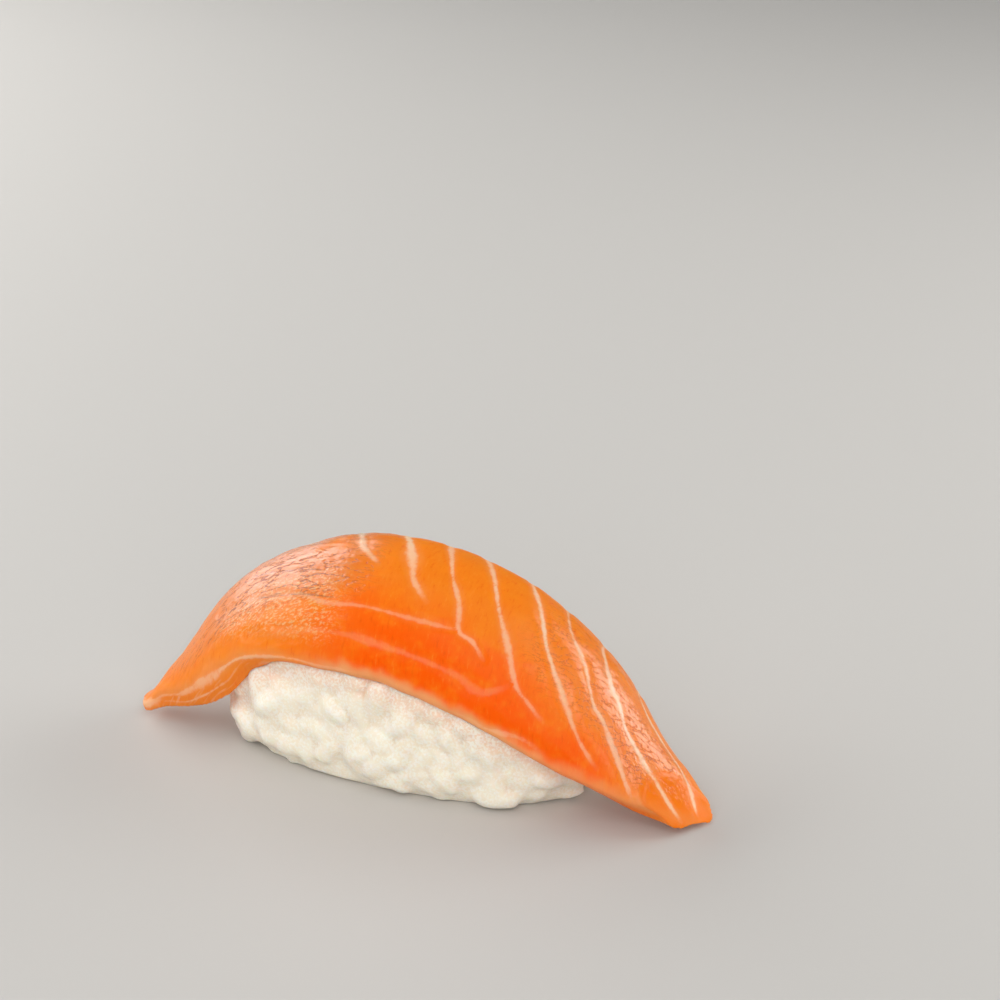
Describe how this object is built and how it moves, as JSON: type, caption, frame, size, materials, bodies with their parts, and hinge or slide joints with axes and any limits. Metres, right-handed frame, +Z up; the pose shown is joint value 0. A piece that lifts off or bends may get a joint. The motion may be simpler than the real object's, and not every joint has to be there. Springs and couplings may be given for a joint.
{
  "type": "salmon nigiri",
  "caption": "Salmon nigiri: a slice of raw salmon with pale fat lines, draped over a hand-pressed oblong of white sushi rice that it overhangs at both ends.",
  "frame": {"origin": "middle of the rice ball's flat underside, on the surface it stands on", "axes": "+X along the slice towards its wider cut end, -Y the front that shows the rice, +Z up"},
  "size_m": [0.0802, 0.026, 0.0301],
  "materials": {
    "rice": "moist, slightly glossy cooked short-grain rice",
    "salmon": "wet raw salmon with pale fat lines"
  },
  "bodies": {
    "root": {"rice": "rice", "salmon": "salmon"}
  },
  "joints": []
}
